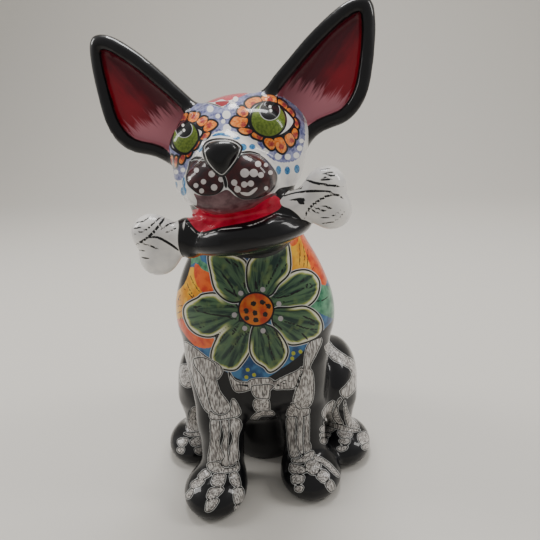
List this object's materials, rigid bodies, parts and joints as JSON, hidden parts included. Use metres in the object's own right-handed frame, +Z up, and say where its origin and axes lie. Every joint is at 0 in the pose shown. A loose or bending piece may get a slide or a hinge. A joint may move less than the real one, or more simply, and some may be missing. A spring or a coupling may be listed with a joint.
{
  "type": "pottery chihuahua figurine",
  "caption": "Seated chihuahua figurine in painted, glazed pottery, with large upright ears and a bone held across its open jaws.",
  "frame": {"origin": "middle of the figure's plan, on the surface it stands on", "axes": "+Z up, the dog looks along -Y, +X on the viewer's right"},
  "size_m": [0.1756, 0.1753, 0.3252],
  "materials": {
    "glazed_pottery": "black ground with bright hand-painted flowers, face and bones under a clear gloss glaze"
  },
  "bodies": {
    "root": {"talavera_chihuahua": "glazed_pottery"}
  },
  "joints": []
}
